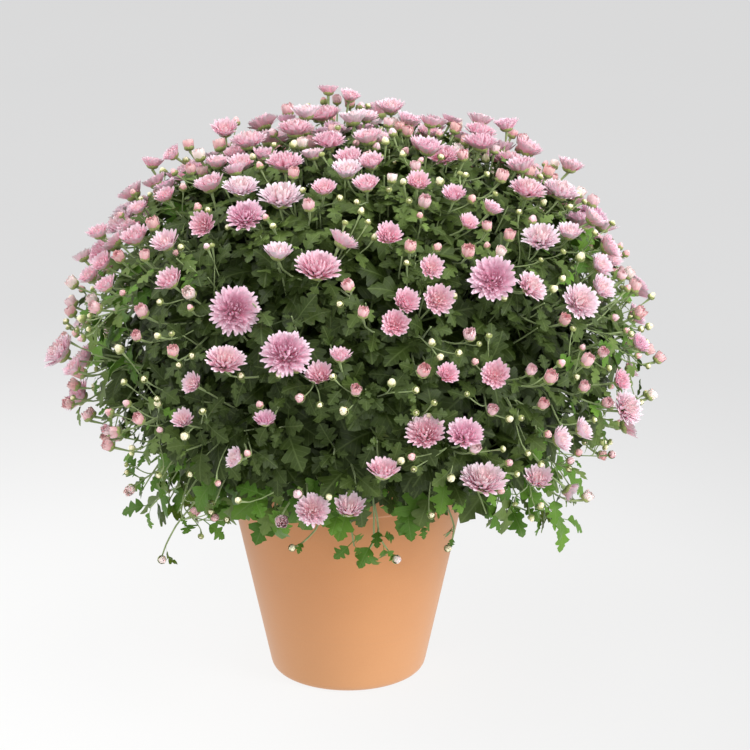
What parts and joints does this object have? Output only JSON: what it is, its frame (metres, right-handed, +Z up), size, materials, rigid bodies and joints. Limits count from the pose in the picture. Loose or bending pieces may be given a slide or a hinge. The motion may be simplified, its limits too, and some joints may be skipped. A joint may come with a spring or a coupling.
{
  "type": "potted chrysanthemum",
  "caption": "Pot chrysanthemum: a leafy rounded bush covered in sprays of double flower heads and buds, growing in a tapered clay pot with a collar.",
  "frame": {"origin": "on the ground, under the middle of the whole plant's bounding box; the pot's own axis is 9 mm towards -X and 4 mm towards -Y of it", "axes": "+Z up along the pot's axis, -Z the way the pot's foot faces; the pictured side faces -Y"},
  "size_m": [0.5621, 0.563, 0.5349],
  "materials": {
    "terracotta": "unglazed matte clay, orange-tan",
    "soil": "dark crumbly potting soil, peat and bark",
    "leaf": "dark green leaves and stems with a dull sheen",
    "petal": "soft pink petals, paler at their tips"
  },
  "bodies": {
    "root": {"foliage": "leaf", "pot": "terracotta", "soil": "soil", "spray_01": "petal", "spray_02": "petal", "spray_03": "petal", "spray_04": "petal", "spray_05": "petal", "spray_06": "petal", "spray_07": "petal", "spray_08": "petal", "spray_09": "petal", "spray_10": "petal", "spray_11": "petal", "spray_12": "petal", "spray_13": "petal", "spray_14": "petal", "spray_15": "petal", "spray_16": "petal", "spray_17": "petal", "spray_18": "petal", "spray_19": "petal", "spray_20": "petal", "spray_21": "petal", "spray_22": "petal", "spray_23": "petal", "spray_24": "petal", "spray_25": "petal", "spray_26": "petal", "spray_27": "petal", "spray_28": "petal", "spray_29": "petal", "spray_30": "petal", "spray_31": "petal", "spray_32": "petal", "spray_33": "petal", "spray_34": "petal", "spray_35": "petal", "spray_36": "petal", "spray_37": "petal", "spray_38": "petal", "spray_39": "petal", "spray_40": "petal", "spray_41": "petal", "spray_42": "petal", "spray_43": "petal", "spray_44": "petal", "spray_45": "petal", "spray_46": "petal", "spray_47": "petal", "spray_48": "petal", "spray_49": "petal", "spray_50": "petal", "spray_51": "petal", "spray_52": "petal", "spray_53": "petal", "spray_54": "petal"}
  },
  "joints": []
}
